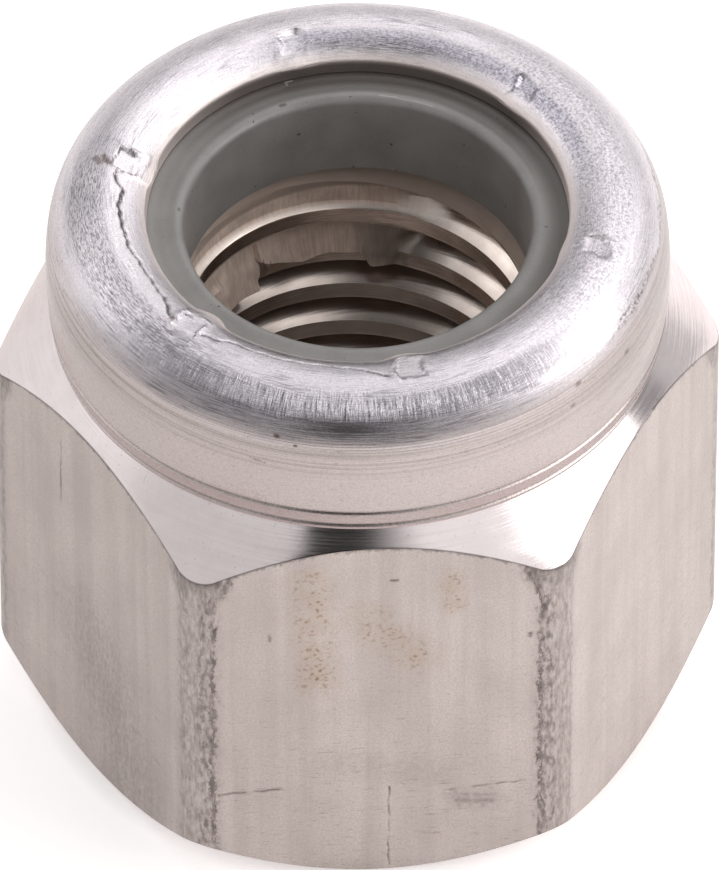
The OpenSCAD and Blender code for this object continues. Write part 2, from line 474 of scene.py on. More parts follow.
# %% Rolled collar and lip
# Rust spots and a pit, then broken scratches: both ends as a turn and a way along the section, half
# width and strength
SPOTS = (
    ((181.6, 13.65), (181.9, 13.65), 0.07, 0.9),
    ((219.0, 13.42), (219.3, 13.42), 0.10, 0.8),
    ((251.3, 11.97), (251.6, 11.97), 0.08, 0.9),
    ((254.9, 11.82), (255.2, 11.82), 0.05, 0.9),
    ((164.0, 13.05), (165.5, 13.15), 0.14, 0.6),
    ((163.5, 13.20), (165.2, 13.30), 0.12, 0.7),
    ((311.4, 11.85), (311.9, 11.85), 0.09, 0.6),
    ((325.6, 11.56), (326.0, 11.56), 0.10, 0.6),
    ((309.6, 11.42), (310.0, 11.42), 0.08, 0.5),
)
NICKS = (
    ((246.5, 11.30), (249.4, 11.26), 0.04, 0.7),
    ((312.0, 11.80), (316.0, 11.72), 0.04, 0.5),
    ((296.0, 11.60), (301.0, 11.56), 0.03, 0.4),
    ((194.0, 11.94), (198.7, 12.04), 0.04, 0.5),
    ((198.7, 12.04), (205.7, 11.84), 0.04, 0.6),
    ((205.7, 11.84), (211.0, 11.62), 0.04, 0.5),
    ((211.0, 11.62), (216.2, 11.40), 0.04, 0.4),
    ((326.0, 12.24), (329.4, 12.27), 0.08, 0.8),
    ((329.4, 12.27), (336.9, 12.22), 0.08, 0.7),
)
# Bands along the section, with wavy edges and with straight ones: start, end and soft edge
WAVY_BANDS = {
    "wall": (9, 11.75, 0.6),
    "dull_wall": (9, 12.2, 0.08),
    "dull_edge": (12.2, 12.27, 0.05),
    "rub": (12.12, 12.4, 0.25),
    "shoulder": (12.5, 12.95, 0.15),
    "lip": (12.55, 15, 0.25),
}
STRAIGHT_BANDS = {
    "lined_wall": (11.5, 12.1, 0.6),
    "dash_row": (12.66, 13.25, 0.15),
    "bruise_row": (12.75, 13.05, 0.15),
    "peened_row": (13.0, 13.95, 0.2),
    "inner_row": (13.66, 13.88, 0.14),
    "nose": (14.25, 16, 0.25),
    "under_nose": (14.36, 16, 0.12),
}
BAND_WAVE = 0.14
# Sides of the lip: the turn of the middle, and how far from it the side is whole and is gone, in degrees
LIP_SIDES = {
    "dashed": (198, 28, 42),
    "bruised": (227, 9, 24),
    "rubbed": (256, 24, 58),
    "stroked": (264, 30, 56),
    "scuffed": (352, 22, 42),
    "peened": (3, 40, 58),
    "far": (58, 40, 58),
    "shaded": (80, 40, 75),
}
# Peening rubbed out this share of the streaks
PEENED_SHARE = 0.6


def on_lathe(turn, way):
    return (LATHE_R * cos(radians(turn)), LATHE_R * sin(radians(turn)), way)


def marks_on_lathe(tree, place, lines):
    return marks(tree, place, [
        (on_lathe(*start), on_lathe(*end), width, strength) for start, end, width, strength in lines
    ])


# Rolled aluminium: burnished bright, scuffed blue-grey where the roller rubbed
def rolled_aluminium():
    material, tree = new_material("rolled_aluminium")
    lathe = add(tree, "ShaderNodeAttribute", attribute_name="lathe").outputs["Vector"]
    dirt_and_shade = add(tree, "ShaderNodeAttribute", attribute_name="marks_and_shade").outputs["Fac"]
    way = add(tree, "ShaderNodeSeparateXYZ", {0: lathe}).outputs["Z"]
    streaks = grains(tree, lathe, (0.5, 0.5, 0.024), (0.46, 0.7), 4, 0.6)
    lines = grains(tree, lathe, (9, 9, 0.028), (0.46, 0.64), 3, 0.6)
    cover = grains(tree, lathe, (1.4, 1.4, 0.32), (0.45, 0.65))
    strokes = grains(tree, lathe, (0.035, 0.035, 0.35), (0.37, 0.61), 3, 0.6)
    dashes = grains(tree, lathe, (0.15, 0.15, 0.022), (0.45, 0.64), 3, 0.6)
    grain = grains(tree, lathe, (0.045, 0.045, 0.045), (0.42, 0.75), 3, 0.6)
    pits = grains(tree, lathe, (0.1, 0.1, 0.07), (0.6, 0.72), 3, 0.6)
    patches = grains(tree, lathe, (0.07, 0.07, 0.05), (0.2, 0.5))
    mottle = grains(tree, lathe, (0.08, 0.08, 0.06), (0.45, 0.62), 4, 0.65)

    wavy = add(tree, "ShaderNodeMath", {0: cover, 1: BAND_WAVE, 2: way}, operation="MULTIPLY_ADD")
    on = {name: band(tree, wavy, *limits) for name, limits in WAVY_BANDS.items()}
    on |= {name: band(tree, way, *limits) for name, limits in STRAIGHT_BANDS.items()}
    on |= {name: side_of_axis(tree, lathe, *limits) for name, limits in LIP_SIDES.items()}
    unpeened = add(tree, "ShaderNodeMath", {0: on["peened"], 1: -PEENED_SHARE, 2: 1},
                   operation="MULTIPLY_ADD")
    lip_streaks = add(tree, "ShaderNodeMath", {0: streaks, 1: on["lip"]}, operation="MULTIPLY")
    wall_lines = add(tree, "ShaderNodeMath", {0: lines, 1: on["lined_wall"]}, operation="MULTIPLY")

    colour = paint(tree, "#E3DCE1", (
        ("#C6BBB8", on["wall"]),
        ("#857D80", grain, 0.3),
        ("#7A7170", pits, 0.3),
        ("#737079", lip_streaks, cover, unpeened, 0.8),
        ("#8A868E", mottle, on["peened_row"], on["peened"], 0.6),
        ("#6C6870", dashes, on["dash_row"], on["dashed"], 0.85),
        ("#6F6B78", streaks, on["bruise_row"], on["bruised"], 0.8),
        ("#9491A0", on["inner_row"], on["far"], 0.45),
        ("#6C6877", mottle, on["inner_row"], on["far"], 0.6),
        ("#8F8A92", on["lip"], on["rubbed"], 0.22),
        ("#6F6B73", strokes, on["shoulder"], on["stroked"], 0.68),
        ("#4E494D", on["rub"], on["rubbed"], 0.55),
        ("#3A353A", streaks, on["rub"], on["rubbed"], 0.75),
        ("#7A716F", wall_lines, on["wall"], 0.6),
        ("#9F9593", on["dull_wall"], on["scuffed"], 0.38),
        ("#5E5552", on["dull_edge"], mottle, on["scuffed"], 0.6),
        ("#8F8583", cover, on["wall"], on["scuffed"], 0.4),
        ("#F1E4DB", on["nose"], 0.6),
        ("#5C514C", on["under_nose"], on["shaded"], 0.75),
        ("#5A4030", marks_on_lathe(tree, lathe, SPOTS)),
        ("#554540", marks_on_lathe(tree, lathe, NICKS), mottle),
        # Dirt in the cracks, the tool lines and round the stakes, and painted shade where the nose turns
        # under
        ("#40372F", dirt_and_shade, patches),
    ))

    stroke = add(tree, "ShaderNodeMath", {0: strokes, 1: on["shoulder"]}, operation="MULTIPLY")
    stroke = add(tree, "ShaderNodeMath", {0: stroke, 1: on["stroked"]}, operation="MULTIPLY")
    bump = relief(tree, 0.006, ((lip_streaks, -0.8), (wall_lines, 0.8), (stroke, 3), (grain, 0.4)))
    rough = add(tree, "ShaderNodeMath", {0: streaks, 1: 0.3, 2: on["nose"]}, operation="MULTIPLY_ADD")
    surface(tree, colour, rough, (0.24, 0.6), bump, Metallic=1)
    return material


# %% [markdown]
# The tap left flanks like dull mirrors. At the top, where it tore the metal, and on the drilled
# countersink the surface is rough and dusty, so it shows light from all round instead of an image.

# %% Tapped thread
# Painted shade in the groove beside the torn sheet's right end: its side of the axis, and its heights
GROOVE_SHADE_SIDE = (72, 0, 17)
GROOVE_SHADE_HEIGHTS = (7.7, 8.3, 0.3)
# The drilled countersink above the thread
DRILLED_HEIGHTS = (EXIT_Z, NUT_H, 0.08)


# Tapped aluminium: flanks with lines along the cut, crests painted darker as the dark wall that they
# mirror, and a pale, rough torn sheet
def tapped_aluminium():
    material, tree = new_material("tapped_aluminium")
    spot = spot_mm(tree)
    lathe = add(tree, "ShaderNodeAttribute", attribute_name="lathe").outputs["Vector"]
    height = add(tree, "ShaderNodeSeparateXYZ", {0: spot}).outputs["Z"]
    sheet, crest = (
        add(tree, "ShaderNodeAttribute", attribute_name=name).outputs["Fac"] for name in ("marks_and_shade", "crest")
    )
    drilled = band(tree, height, *DRILLED_HEIGHTS)
    rough_parts = add(tree, "ShaderNodeMath", {0: sheet, 1: drilled}, operation="MAXIMUM")
    groove_shade = side_of_axis(tree, lathe, *GROOVE_SHADE_SIDE)
    lines = grains(tree, lathe, (3, 3, 0.035))
    oil = grains(tree, spot, (0.6, 0.6, 0.4), (0.3, 0.7), 4)
    scrapes = grains(tree, lathe, (0.09, 0.09, 0.4), (0.4, 0.7), 4, 0.6)
    colour = paint(tree, "#D6C7BE", (
        ("#EFE2D9", oil),
        # Painted reflection: the crests are darkened for the dark front wall that they mirror
        ("#6A5D56", crest, 0.3),
        ("#FBEEE5", sheet),
        ("#B5A498", sheet, oil, 0.35),
        ("#A39388", sheet, scrapes, 0.25),
        ("#BBACA1", drilled, 0.8),
        # Painted shade in the groove beside the torn sheet's end
        ("#37302D", band(tree, height, *GROOVE_SHADE_HEIGHTS), groove_shade, 0.45),
    ))
    rough = add(tree, "ShaderNodeMath", {0: lines, 1: 0.15, 2: rough_parts}, operation="MULTIPLY_ADD")
    scraped = add(tree, "ShaderNodeMath", {0: scrapes, 1: sheet}, operation="MULTIPLY")
    bump = relief(tree, 0.005, ((lines, 1), (scraped, -1)))
    surface(tree, colour, rough, (0.14, 0.85), bump, Metallic=1)
    return material


# %% [markdown]
# Polyamide is a waxy plastic. Moulded grey, it has a soft sheen, a faint grain and dark specks of dirt,
# and under the lip it is painted brown as the lip's shadow. A thread of burr stands on the far bore edge.

# %% Moulded polyamide
# Specks on the ring's top, and the burr and a flaw on it: both ends as a turn and a radius, half width
RING_SPECKS = (
    ((94.0, 3.99), (94.8, 3.99), 0.05),
    ((106.7, 4.02), (107.5, 4.02), 0.05),
    ((110.6, 3.58), (112.0, 3.58), 0.07),
    ((182.0, 3.87), (182.8, 3.87), 0.05),
    ((170.8, 3.55), (171.6, 3.55), 0.05),
)
RING_BURR = (
    ((61.7, 3.55), (68.0, 3.55), 0.03),
    ((68.0, 3.54), (74.0, 3.54), 0.03),
    ((74.0, 3.56), (79.5, 3.56), 0.03),
    ((106.9, 4.15), (106.6, 3.98), 0.035),
    ((106.9, 4.15), (105.0, 4.15), 0.03),
)
RING_MARK_STRENGTH = 0.9


def on_ring_top(turn, r):
    return (r * cos(radians(turn)), r * sin(radians(turn)), RING_TOP_Z)


def marks_on_ring(tree, place, lines):
    return marks(tree, place, [
        (on_ring_top(*start), on_ring_top(*end), width, RING_MARK_STRENGTH) for start, end, width in lines
    ])


# Moulded polyamide: waxy mid grey with a soft sheen, faintly grained and specked
def moulded_polyamide():
    material, tree = new_material("moulded_polyamide")
    spot = spot_mm(tree)
    dirt_and_shade = add(tree, "ShaderNodeAttribute", attribute_name="marks_and_shade").outputs["Fac"]
    cloud = grains(tree, spot, (0.9, 0.9, 0.9), (0.3, 0.7))
    grain = grains(tree, spot, (0.05, 0.05, 0.05), (0.25, 0.75), 2)
    specks = grains(tree, spot, (0.14, 0.14, 0.14), (0.76, 0.8), 1)
    colour = paint(tree, "#777472", (
        ("#8C8987", cloud),
        ("#97938F", grain, 0.35),
        # Painted shadow of the lip, brown, on the ring under it
        ("#3F352F", dirt_and_shade, 0.85),
        ("#B4AFAA", marks_on_ring(tree, spot, RING_BURR), 0.8),
        ("#332A28", specks),
        ("#332A28", marks_on_ring(tree, spot, RING_SPECKS)),
    ))
    bump = relief(tree, 0.004, ((grain, 0.7),))
    surface(tree, colour, grain, (0.3, 0.42), bump, IOR=1.53, **{"Specular IOR Level": 0.7})
    return material


# %% Make the finishes
drawn = drawn_aluminium()
turned = turned_aluminium()
rolled = rolled_aluminium()
tapped = tapped_aluminium()
moulded = moulded_polyamide()
print("finishes:", [material.name for material in (drawn, turned, rolled, tapped, moulded)])

# %% [markdown]
# ## Hexagon
# A drawn bar has flat sides and corners that the die left slightly round. Its outline is one radius
# for each turn about the axis. Columns of the mesh crowd at the corners, so that the round band there
# keeps clean edges, and spread evenly again towards the round parts above and below.

# %% Outline of the drawn bar
COLUMNS = 360
# From the middle of a corner to that of a flat: even columns that are drawn to the corner band's edge,
# just past it and on, in degrees
EVEN_STOPS = (0, 6, 7, 30)
PAST_EDGE = radians(0.3)
sharp_r = FLAT_R / cos(SECTOR / 2)
corner_chord_r = sharp_r - CORNER_W / 2 * tan(SECTOR / 2)
corner_axis_r = corner_chord_r - sqrt(CORNER_RADIUS ** 2 - (CORNER_W / 2) ** 2)
corner_half = np.arctan2(CORNER_W / 2, corner_chord_r)

even_turn = 2 * pi * np.arange(COLUMNS) / COLUMNS
fine_turn = pi * np.arange(2 * COLUMNS) / COLUMNS


def from_corner(turn):
    return (turn + SECTOR / 2) % SECTOR - SECTOR / 2


def crowded(turn):
    off = from_corner(turn)
    crowded_stops = [0, corner_half, corner_half + PAST_EDGE, SECTOR / 2]
    return turn - off + np.sign(off) * np.interp(np.abs(off), np.radians(EVEN_STOPS), crowded_stops)


def outline_r(turn):
    off = from_corner(turn)
    flat = FLAT_R / np.cos(SECTOR / 2 - np.abs(off))
    across = np.minimum(corner_axis_r * np.abs(np.sin(off)), CORNER_RADIUS)
    arc = corner_axis_r * np.cos(off) + np.sqrt(CORNER_RADIUS ** 2 - across ** 2)
    return np.where(np.abs(off) < corner_half, np.minimum(arc, sharp_r), flat)


print("corner band is", round(2 * float(np.degrees(corner_half)), 2), "degrees wide")

# %% Rows from the bearing face up to the collar
# Even rows on the bearing face, the chamfer, the flats and the shoulder
FILL_ROWS = (2, 1, 8, 3)
# The most that a row beside an edge may take of the way, and how far an edge is broken towards such rows
NEAR_SHARE = 0.3
BREAK_SHARE = 0.3


def ring_of(turn, r, z):
    return np.stack([np.broadcast_to(v, turn.shape).astype(float) for v in (turn, r, z)])


# Rows between two rings: one beside each end, to hold the edge, and some even ones
def rows_between(a, b, count):
    length = np.hypot(b[1] - a[1], b[2] - a[2])
    near = np.minimum(EDGE_BREAK / np.maximum(length, EDGE_BREAK), NEAR_SHARE)
    shares = [near] + [near + (1 - 2 * near) * k / (count + 1) for k in range(1, count + 1)] + [1 - near]
    return [a + (b - a) * share for share in shares]


# The edge itself is broken a little, towards the rows beside it
def broken(row, before, after):
    return row + BREAK_SHARE * ((before + after) / 2 - row)


# Height of the edge where the cone shoulder cuts a flat or a corner of the given radius
def shoulder_edge(r):
    return SHOULDER_Z - (r - COLLAR_R) * tan(SHOULDER_FALL)


hex_turn = crowded(even_turn)
hex_r = outline_r(hex_turn)
chamfer_z = (hex_r - BEARING_R) * tan(CHAMFER)
shoulder_z = shoulder_edge(hex_r)
hex_keys = [
    ring_of(even_turn, ENTRY_R, 0),
    ring_of(hex_turn, BEARING_R, 0),
    ring_of(hex_turn, hex_r, chamfer_z),
    ring_of(hex_turn, hex_r, shoulder_z),
    ring_of(even_turn, COLLAR_R, SHOULDER_Z),
]
hex_fills = [rows_between(a, b, n) for a, b, n in zip(hex_keys, hex_keys[1:], FILL_ROWS)]
hex_rows = [hex_keys[0]]
for number, fill in enumerate(hex_fills):
    hex_rows += fill
    if number < len(hex_fills) - 1:
        hex_rows.append(broken(hex_keys[number + 1], fill[-1], hex_fills[number + 1][0]))
hex_rows.append(hex_keys[-1])
print("rows of the hexagon:", len(hex_rows))

# %% [markdown]
# ## Collar and rolled lip
# Above the shoulder the nut is round: a slightly barrel-shaped wall with two fine tool lines at its
# foot, and the rim that a roller turned inwards over the ring. The half section is a list of points
# with the direction that faces outwards, so that wear can push the surface in and out.

# %% Half section of the collar
barrel_r = ((BELLY_Z - SHOULDER_Z) ** 2 + (BELLY_R - COLLAR_R) ** 2) / (2 * (BELLY_R - COLLAR_R))
barrel_axis_r = BELLY_R - barrel_r
roll_z = NUT_H - ROLL_R
roll_start = asin((roll_z - BELLY_Z) / (barrel_r - ROLL_R))
roll_axis_r = barrel_axis_r + (barrel_r - ROLL_R) * cos(roll_start)
nose_axis_r = LIP_R + NOSE_R
roll_end = acos((nose_axis_r - roll_axis_r) / (ROLL_R - NOSE_R))
nose_z = roll_z + (ROLL_R - NOSE_R) * sin(roll_end)

LINE_HEIGHTS = (9.69, 10.07)
LINE_HALF_W = 0.05
LINE_DEPTH = 0.035
# Places across a tool line and the depth there, as shares of its half width and its depth
LINE_SHAPE = ((-1.6, 0), (-1, -0.25), (-0.4, 0.9), (0.1, 1), (0.6, 0.1), (1.4, 0))
WALL_ROWS, OUTER_ROLL_ROWS, INNER_ROLL_ROWS, NOSE_ROWS, GROOVE_ROWS = 5, 14, 30, 6, 4
wall_start_z = LINE_HEIGHTS[1] + 3 * LINE_HALF_W
roll_start_z = roll_z + ROLL_R * sin(roll_start)


def barrel_at(z):
    return barrel_axis_r + sqrt(barrel_r ** 2 - (z - BELLY_Z) ** 2)


section = []
for line_z in LINE_HEIGHTS:
    for step, depth in LINE_SHAPE:
        z = line_z + step * LINE_HALF_W
        section.append((barrel_at(z) - depth * LINE_DEPTH, z, 0.0))
for z in np.linspace(wall_start_z, roll_start_z, WALL_ROWS, endpoint=False):
    section.append((barrel_at(z), z, 0.0))
roll_angles = np.concatenate([
    np.linspace(roll_start, pi / 2, OUTER_ROLL_ROWS, endpoint=False),
    np.linspace(pi / 2, roll_end, INNER_ROLL_ROWS, endpoint=False),
])
for angle in roll_angles:
    section.append((roll_axis_r + ROLL_R * cos(angle), roll_z + ROLL_R * sin(angle), angle))
for angle in np.linspace(roll_end, pi, NOSE_ROWS):
    section.append((nose_axis_r + NOSE_R * cos(angle), nose_z + NOSE_R * sin(angle), angle))
shown_rows = len(section)
groove_corner = (GROOVE_R - GROOVE_ROUND, GROOVE_TOP_Z - GROOVE_ROUND)
section.append((LIP_R, GROOVE_TOP_Z, pi))
for angle in np.linspace(pi / 2, 0, GROOVE_ROWS):
    section.append((
        groove_corner[0] + GROOVE_ROUND * cos(angle),
        groove_corner[1] + GROOVE_ROUND * sin(angle),
        pi,
    ))
section.append((GROOVE_R, GROOVE_Z, pi))
section.append(((GROOVE_R + THREAD_R) / 2, GROOVE_Z, pi))
section = np.array(section)
print("points of the collar's half section:", len(section))

# %% [markdown]
# ## Wear on the lip
# Rolling and staking left the marks that make this nut look real: six punched facets, tongues of
# metal pushed over the ring, and a crack along the folded edge between three of the stakes. They are
# few and all different, so they are listed one by one, as a turn about the axis and a radius.

# %% Where the stakes and the cracks lie
# Each stake: turn, radius, reach of its tongue, softness of its edges, and how dark they are towards
# smaller turns, towards larger turns and on the outer side
STAKES = (
    (39.8, 4.55, 0.05, 0.11, (0.1, 0.8, 0.15)),
    (103.5, 4.63, 0.04, 0.11, (0.05, 0.6, 0.35)),
    (163.2, 4.68, 0.06, 0.03, (1.0, 0.5, 0.5)),
    (223.1, 4.93, 0.16, 0.03, (0.6, 0.3, 0.6)),
    (279.1, 4.79, 0.14, 0.04, (0.4, 0.4, 0.3)),
    (340.8, 4.89, 0.04, 0.1, (0.05, 0.8, 0.2)),
)
CRACKS = (
    (
        (167, 4.86), (169.8, 4.82), (172.8, 4.65), (178, 4.70), (181.5, 4.72), (185, 4.68), (192, 4.69),
        (194.7, 4.66), (200, 4.61), (206, 4.62), (211, 4.65), (214.8, 4.75), (219, 4.97),
    ),
    (
        (226.4, 4.92), (229, 4.84), (232.6, 4.76), (233.8, 4.67), (237, 4.64), (240.7, 4.66), (250.5, 4.65),
        (255.8, 4.62), (264, 4.64), (269.5, 4.76), (272.9, 4.94), (275, 5.0),
    ),
)
print("stakes:", len(STAKES), "and cracks:", len(CRACKS))


# %% The lip as a grid of points
# Slow waves that the roller left in the lip: their height, and how many of each go round
WAVE_H = 0.006
WAVE_COUNTS = (3, 5, 8, 13)


def smooth(value):
    value = np.clip(value, 0, 1)
    return value * value * (3 - 2 * value)


def roll_angle_at(r):
    return np.arccos(np.clip((r - roll_axis_r) / ROLL_R, -1, 1))


def wrapped(turn):
    return (turn + pi) % (2 * pi) - pi


turn_grid, angle_grid = np.meshgrid(fine_turn, section[:, 2])
r_grid = np.repeat(section[:, :1], len(fine_turn), axis=1)
z_grid = np.repeat(section[:, 1:2], len(fine_turn), axis=1)
on_roll = (angle_grid > 0) & (np.arange(len(section))[:, None] < shown_rows)
marks_and_shade = np.zeros_like(r_grid)

wave = sum(np.sin(n * turn_grid + n * n) / n for n in WAVE_COUNTS)
push = WAVE_H * (wave - wave.max()) * on_roll
print("grid of the lip:", r_grid.shape)

# %% Crack along the fold
CRACK_DEPTH = 0.055
CRACK_HALF_W = 0.028
CRACK_FADE = 0.03
FOLD_STEP = 0.018
# Its jags: height, how many go round, and phase
JAGS = ((0.014, 47, 0), (0.012, 103, 1))

jag = sum(height * np.sin(count * turn_grid + phase) for height, count, phase in JAGS)
for crack in CRACKS:
    turns, radii = np.radians([p[0] for p in crack]), np.array([p[1] for p in crack])
    crack_angle = roll_angle_at(np.interp(turn_grid, turns, radii) + jag)
    along = smooth((turn_grid - turns[0]) / CRACK_FADE) * smooth((turns[-1] - turn_grid) / CRACK_FADE)
    off = ROLL_R * (angle_grid - crack_angle)
    cut = np.exp(-(off / CRACK_HALF_W) ** 2) * along * on_roll
    push -= CRACK_DEPTH * cut + FOLD_STEP * smooth(off / CRACK_HALF_W) * along * on_roll
    marks_and_shade = np.maximum(marks_and_shade, cut)
r_grid += push * np.cos(angle_grid)
z_grid += push * np.sin(angle_grid)
print("deepest crack", round(float(-push.min()), 3), "mm")

# %% Stakes and their tongues
STAKE_L = 0.56
STAKE_W = 0.56
STAKE_DEPTH = 0.075
FACET_SLOPE = 0.5
# Waves that make each outline differ: height, waves in 2 pi millimetres, and phase from stake to stake
SIDE_WAVE = (0.05, 9, 2)
END_WAVE = (0.04, 8, 3)
# The dirty rim as shares of the mark: how wide it is, where it ends and how dark it is on the inner side
RIM_W, RIM_END, INNER_DARK = 0.1, 0.25, 0.1
STAKE_DIRT = 0.6
RAGGED_LEVEL = 0.6
RAGGED_COUNTS = (13, 15)
# The burr just outside the rim: what its height comes from, its place and its width
STAKE_BURR, BURR_PLACE, BURR_W = 0.001, 0.1, 0.06
# The tongue: half width, the way over which it starts, and its drop as a share of its reach
TONGUE_W, TONGUE_START, TONGUE_DROP = 0.34, 0.4, 0.3


def ripple(distance, number, wave):
    height, count, phase = wave
    return height * np.sin(count * distance + phase * number)


for number, (stake_turn, stake_r, reach, edge_w, darks) in enumerate(STAKES):
    stake_angle = float(roll_angle_at(stake_r))
    slope = -cos(stake_angle) / sin(stake_angle)
    sideways = stake_r * wrapped(turn_grid - radians(stake_turn))
    inwards = ROLL_R * (angle_grid - stake_angle)
    # No two blows left the same outline
    sideways = sideways + ripple(inwards, number, SIDE_WAVE)
    inwards = inwards + ripple(sideways, number, END_WAVE)
    inside = smooth((STAKE_W / 2 - np.abs(sideways)) / edge_w)
    inside *= smooth((STAKE_L / 2 - np.abs(inwards)) / edge_w) * on_roll
    facet_z = roll_z + ROLL_R * sin(stake_angle) - STAKE_DEPTH - FACET_SLOPE * slope * inwards
    z_grid += np.minimum(facet_z - z_grid, 0) * inside
    across, along = np.abs(sideways) / STAKE_W, np.abs(inwards) / STAKE_L
    rim = np.maximum(across, along) - 0.5
    edge = np.exp(-(rim / RIM_W) ** 2) * (np.abs(rim) < RIM_END) * on_roll
    dark = np.where(sideways < 0, darks[0], darks[1])
    dark = np.where(along > across, np.where(inwards < 0, darks[2], INNER_DARK), dark)
    ragged = np.sin(RAGGED_COUNTS[0] * sideways + number) * np.sin(RAGGED_COUNTS[1] * inwards + 2 * number)
    ragged = smooth(RAGGED_LEVEL + RAGGED_LEVEL * ragged)
    marks_and_shade = np.maximum(marks_and_shade, STAKE_DIRT * dark * ragged * edge)
    burr = STAKE_BURR / edge_w * ragged * np.exp(-((rim - BURR_PLACE) / BURR_W) ** 2) * on_roll
    z_grid = np.minimum(z_grid + burr, NUT_H)
    tongue = np.exp(-(sideways / TONGUE_W) ** 2) * smooth(inwards / TONGUE_START) * on_roll
    r_grid -= reach * tongue
    z_grid -= TONGUE_DROP * reach * tongue
print("tongues reach in to radius", round(float(r_grid[:shown_rows].min()), 3), "mm")

# %% Dirt in the tool lines, and painted shade under the nose
LINE_DIRT, LINE_DIRT_W = 0.45, 0.6
NOSE_SHADE = 0.1
# Angles of the roll before its end at which that painted shade starts, and over which it grows
NOSE_SHADE_START, NOSE_SHADE_GROWTH = 0.1, 0.5
for line_z in LINE_HEIGHTS:
    low_on_wall = (angle_grid == 0) & (np.abs(z_grid - line_z) < LINE_DIRT_W * LINE_HALF_W)
    marks_and_shade = np.maximum(marks_and_shade, LINE_DIRT * low_on_wall)
near_nose = smooth((angle_grid - roll_end + NOSE_SHADE_START) / NOSE_SHADE_GROWTH)
marks_and_shade = np.maximum(marks_and_shade, NOSE_SHADE * near_nose * on_roll)
print("share of the lip that is dirty:", round(float((marks_and_shade > NOSE_SHADE).mean()), 3))

# %% [markdown]
# ## One closed skin
# Rows of rings become faces. The hexagon needs 360 columns and the lip twice as many, so where they
# meet each face takes two edges of the finer ring. Each face also gets the number of its finish.

# %% Skin from the bearing face over the lip into the groove
FLATS, TURNED, ROLLED, TAPPED = range(4)
# Painted dark reflections along the broken edges at the top of the chamfer and at the shoulder
CHAMFER_DARK_REFLECTION, SHOULDER_DARK_REFLECTION = 0.4, 0.85
vertices, faces, finishes = [], [], []
marks_and_shade_values = []


def add_ring(turn, r, z, dirt_and_shade=0.0):
    first = sum(len(v) for v in vertices)
    vertices.append(np.stack([r * np.cos(turn), r * np.sin(turn), z], axis=1))
    marks_and_shade_values.append(np.broadcast_to(dirt_and_shade, turn.shape))
    return np.arange(first, first + len(turn))


def bridge(low, high, finish):
    a, b = np.roll(low, -1), np.roll(high, -1)
    if len(low) == len(high):
        made = np.stack([low, a, b, high], axis=1)
    elif len(low) < len(high):
        made = np.stack([low, a, b[1::2], high[1::2], high[::2]], axis=1)
    else:
        made = np.stack([low[::2], low[1::2], a[1::2], b, high], axis=1)
    faces.extend(made.tolist())
    finishes.extend([finish] * len(made))


fill_sizes = np.cumsum([len(fill) + 1 for fill in hex_fills])
hex_edge_reflection = {fill_sizes[1]: CHAMFER_DARK_REFLECTION, fill_sizes[2]: SHOULDER_DARK_REFLECTION}
hex_ids = [add_ring(*row, hex_edge_reflection.get(number, 0.0)) for number, row in enumerate(hex_rows)]
for number, (low, high) in enumerate(zip(hex_ids, hex_ids[1:])):
    zone = np.searchsorted(fill_sizes, number, side="right")
    bridge(low, high, FLATS if zone == 2 else TURNED)
previous = hex_ids[-1]
for k in range(len(section)):
    current = add_ring(fine_turn, r_grid[k], z_grid[k], marks_and_shade[k])
    bridge(previous, current, ROLLED)
    previous = current
bore_top = add_ring(even_turn, np.full(COLUMNS, THREAD_R), np.full(COLUMNS, GROOVE_Z))
bridge(previous, bore_top, TURNED)
print("skin:", sum(len(v) for v in vertices), "points,", len(faces), "faces")

# %% [markdown]
# ## Thread
# A tap cuts one groove that climbs by the pitch on each turn. It could be drawn as a swept profile and
# cut out of the nut, but a grid bent by a rule is cleaner: its columns are turns about the axis, its
# rows climb with the thread, and the countersinks at both ends simply win where they are wider. Rows
# past the ends are squeezed onto the end rings, where they are merged away.

# %% Profile of the thread
# The share of the full depth that the tap cut, and the parts of one pitch: crest, flanks and root
CUT_SHARE = 0.87
CREST_LINE = 0.06
ROOT_W = 1 / 12
FLANK_ANGLE = radians(30)
cut_depth = CUT_SHARE * (THREAD_R - MINOR_R)
flank_w = cut_depth * tan(FLANK_ANGLE) / PITCH
CREST_END = 1 - ROOT_W - 2 * flank_w
ROOT_START = CREST_END + flank_w
ROOT_END = ROOT_START + ROOT_W
ROWS_PER_TURN = 10
print("crest, flank and root as shares of the pitch:", [round(v, 3) for v in (CREST_END, flank_w, ROOT_W)])

# %% Geometry Nodes tree of the thread: inputs
thread_tree = bpy.data.node_groups.new("tapped_thread", "GeometryNodeTree")
THREAD_INPUTS = (
    ("Columns", "NodeSocketInt", COLUMNS + 1),
    ("Rows", "NodeSocketInt", 0),
    ("Turns", "NodeSocketFloat", 0),
    ("Pitch", "NodeSocketFloat", PITCH * MM),
    ("Start Height", "NodeSocketFloat", 0),
    ("Minor Radius", "NodeSocketFloat", MINOR_R * MM),
    ("Thread Depth", "NodeSocketFloat", cut_depth * MM),
    ("Entry Height", "NodeSocketFloat", ENTRY_Z * MM),
    ("Exit Height", "NodeSocketFloat", EXIT_Z * MM),
    ("Top", "NodeSocketFloat", GROOVE_Z * MM),
    ("Finish", "NodeSocketMaterial", tapped),
)
thread_sockets = {
    name: thread_tree.interface.new_socket(name, in_out="INPUT", socket_type=kind)
    for name, kind, _ in THREAD_INPUTS
}
thread_tree.interface.new_socket("Geometry", in_out="OUTPUT", socket_type="NodeSocketGeometry")
print("inputs of the thread tree:", list(thread_sockets))

